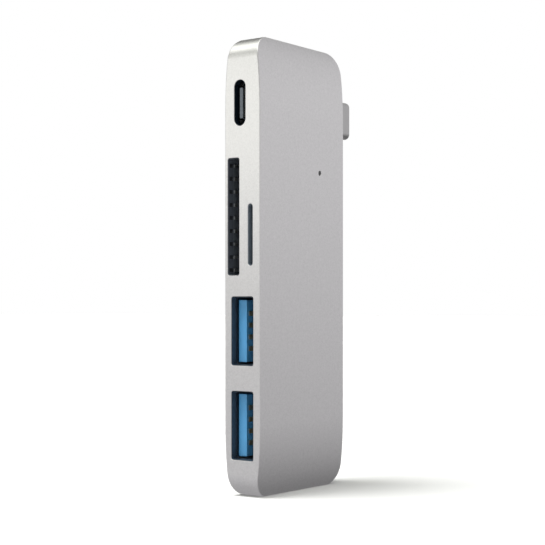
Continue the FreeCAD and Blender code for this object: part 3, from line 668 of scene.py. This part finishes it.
def build_spring():
    """The coil spring that pushes the microSD slider out."""
    low, high = node_box("microsd_spring")
    middle = (low + high) / 2
    radius = (high.y - low.y) / 2 - SPRING_WIRE
    start, length = low.x + SPRING_WIRE, high.x - low.x - 2 * SPRING_WIRE
    centres, outwards = [], []
    for step in range(SPRING_TURNS * SPRING_STEPS + 1):
        turn = step / SPRING_STEPS
        angle = math.tau * turn
        outwards.append(Vector((0, math.cos(angle), math.sin(angle))))
        axis_point = Vector((start + length * spring_place(turn), middle.y, middle.z))
        centres.append(axis_point + outwards[-1] * radius)
    rings = []
    for index, (centre, outward) in enumerate(zip(centres, outwards)):
        before, after = centres[max(index - 1, 0)], centres[min(index + 1, len(centres) - 1)]
        beside = (after - before).normalized().cross(outward)
        turn = [math.tau * step / WIRE_SIDES for step in range(WIRE_SIDES)]
        rings.append([centre + SPRING_WIRE * (math.cos(a) * outward + math.sin(a) * beside) for a in turn])
    bm = bmesh.new()
    loft(bm, rings)
    spring = to_object("push_push_spring", to_mesh("push_push_spring", bm))
    paint(spring, [MATERIALS["socket_steel"]])
    finish_piece(spring, replaces=["microsd_spring"])
    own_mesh(spring)


# ---------------------------------------------------------------- studio

def stage_material():
    material, nodes, shader, place = new_material("studio_floor")
    cloth = nodes.noise(place, 40.0, 2.0)
    nodes.put(shader.inputs["Base Color"], nodes.blend(cloth, (0.74, 0.74, 0.74), (0.76, 0.76, 0.76)))
    shader.inputs["Roughness"].default_value = 0.9
    return material


def build_floor():
    bm = bmesh.new()
    signs = ((-1, -1), (1, -1), (1, 1), (-1, 1))
    bm.faces.new([bm.verts.new((x * FLOOR_REACH, y * FLOOR_REACH, 0)) for x, y in signs])
    floor = to_object("floor", to_mesh("floor", bm))
    floor.data.materials.append(stage_material())
    floor.visible_glossy = False


def build_camera():
    """The view: level, from the corner between the port face and the front face."""
    ahead = Vector((math.cos(VIEW_TURN), math.sin(VIEW_TURN), 0))
    data = bpy.data.cameras.new("camera")
    data.lens = LENS
    data.shift_y = FRAME_SHIFT
    data.clip_start = CLIP_START * MM
    camera = bpy.data.objects.new("camera", data)
    camera.location = Vector((*CAMERA_PLACE, CAMERA_HEIGHT)) * MM
    camera.rotation_euler = ahead.to_track_quat("-Z", "Y").to_euler()
    bpy.context.scene.collection.objects.link(camera)
    bpy.context.scene.camera = camera


def area_light(name, place, target, size, power, colour):
    """A soft box that the camera doesn't see; places and size in millimetres."""
    data = bpy.data.lights.new(name, "AREA")
    data.shape = "RECTANGLE"
    data.size = size[0] * MM
    data.size_y = size[1] * MM
    data.energy = power
    data.color = colour
    light = bpy.data.objects.new(name, data)
    light.location = Vector(place) * MM
    light.rotation_euler = (Vector(target) - Vector(place)).to_track_quat("-Z", "Y").to_euler()
    light.visible_camera = False
    bpy.context.scene.collection.objects.link(light)


def tent_curve(nodes, height, column):
    """The strength of the tent by height, along one side of it."""
    ramp = nodes.add("ShaderNodeFloatCurve", {"Value": height})
    points = ramp.mapping.curves[0].points
    for _ in TENT_LEVELS[2:]:
        points.new(0.5, 0.5)
    for point, level in zip(points, TENT_LEVELS):
        point.location = ((level[0] + 1) / 2, level[column] / TENT_TOP)
    ramp.mapping.update()
    return nodes.math("MULTIPLY", ramp.outputs["Value"], TENT_TOP)


def flag_shade(nodes, direction, towards, reach, left):
    """How much of the tent's light a flag lets through, 1 well away from it."""
    behind = nodes.add("ShaderNodeVectorMath", operation="DOT_PRODUCT")
    nodes.put(behind.inputs[0], direction)
    behind.inputs[1].default_value = towards
    return nodes.add(
        "ShaderNodeMapRange",
        {"Value": behind.outputs["Value"], "From Min": reach[0], "From Max": reach[1],
         "To Min": 1.0, "To Max": left},
        interpolation_type="SMOOTHSTEP",
    ).outputs["Result"]


def build_world():
    """A soft tent of light, brighter towards the left; plain white where the camera sees it."""
    world = bpy.data.worlds.new("studio_tent")
    world.use_nodes = True
    bpy.context.scene.world = world
    nodes = Nodes(world.node_tree)
    background = world.node_tree.nodes["Background"]
    direction = nodes.add("ShaderNodeTexCoord").outputs["Generated"]
    split = nodes.add("ShaderNodeSeparateXYZ", {"Vector": direction})
    height = nodes.add("ShaderNodeMapRange", {"Value": split.outputs["Z"], "From Min": -1.0, "From Max": 1.0})
    side = nodes.add("ShaderNodeVectorMath", operation="DOT_PRODUCT")
    nodes.put(side.inputs[0], direction)
    side.inputs[1].default_value = PORT_FACE_MIRRORS
    leftness = nodes.add(
        "ShaderNodeMapRange",
        {"Value": side.outputs["Value"], "From Min": LEFT_RANGE[0], "From Max": LEFT_RANGE[1]},
        interpolation_type="SMOOTHSTEP",
    )
    unflagged = 1.0
    for towards, reach, left in FLAGS:
        unflagged = nodes.math("MULTIPLY", flag_shade(nodes, direction, towards, reach, left), unflagged)
    level = nodes.add("ShaderNodeMix", {"Factor": leftness.outputs["Result"]}, data_type="FLOAT")
    nodes.put(level.inputs["A"], tent_curve(nodes, height.outputs["Result"], 2))
    nodes.put(level.inputs["B"], tent_curve(nodes, height.outputs["Result"], 1))
    seen = nodes.add("ShaderNodeLightPath").outputs["Is Camera Ray"]
    shown = nodes.add("ShaderNodeMix", {"Factor": seen}, data_type="FLOAT")
    nodes.put(shown.inputs["A"], nodes.math("MULTIPLY", level.outputs["Result"], unflagged))
    shown.inputs["B"].default_value = 1.0
    nodes.put(background.inputs["Strength"], shown.outputs["Result"])
    rise = nodes.add(
        "ShaderNodeMapRange", {"Value": split.outputs["Z"], "From Min": 0.0, "From Max": WARM_HEIGHT})
    warmth = nodes.math("MULTIPLY", rise.outputs["Result"], leftness.outputs["Result"])
    shade = nodes.math("MULTIPLY", warmth, nodes.math("SUBTRACT", 1.0, seen))
    nodes.put(background.inputs["Color"], nodes.blend(shade, (1.0, 1.0, 1.0), WARM_WHITE))


def build_lights():
    """A wide soft key from the upper left, and a card low beside the port face."""
    data = bpy.data.lights.new("key_left", "SUN")
    data.energy = KEY_STRENGTH
    data.angle = KEY_SPREAD
    key = bpy.data.objects.new("key_left", data)
    key.rotation_euler = (-Vector(KEY_FROM)).to_track_quat("-Z", "Y").to_euler()
    key.visible_glossy = False
    bpy.context.scene.collection.objects.link(key)
    area_light("card_left", CARD_PLACE, CARD_TARGET, CARD_SIZE, CARD_POWER, WARM_WHITE)


bpy.context.scene.view_settings.view_transform = "Standard"
dress_cad_nodes()
build_housing()
build_cover()
build_liner()
build_spring()
build_floor()
build_camera()
build_world()
build_lights()
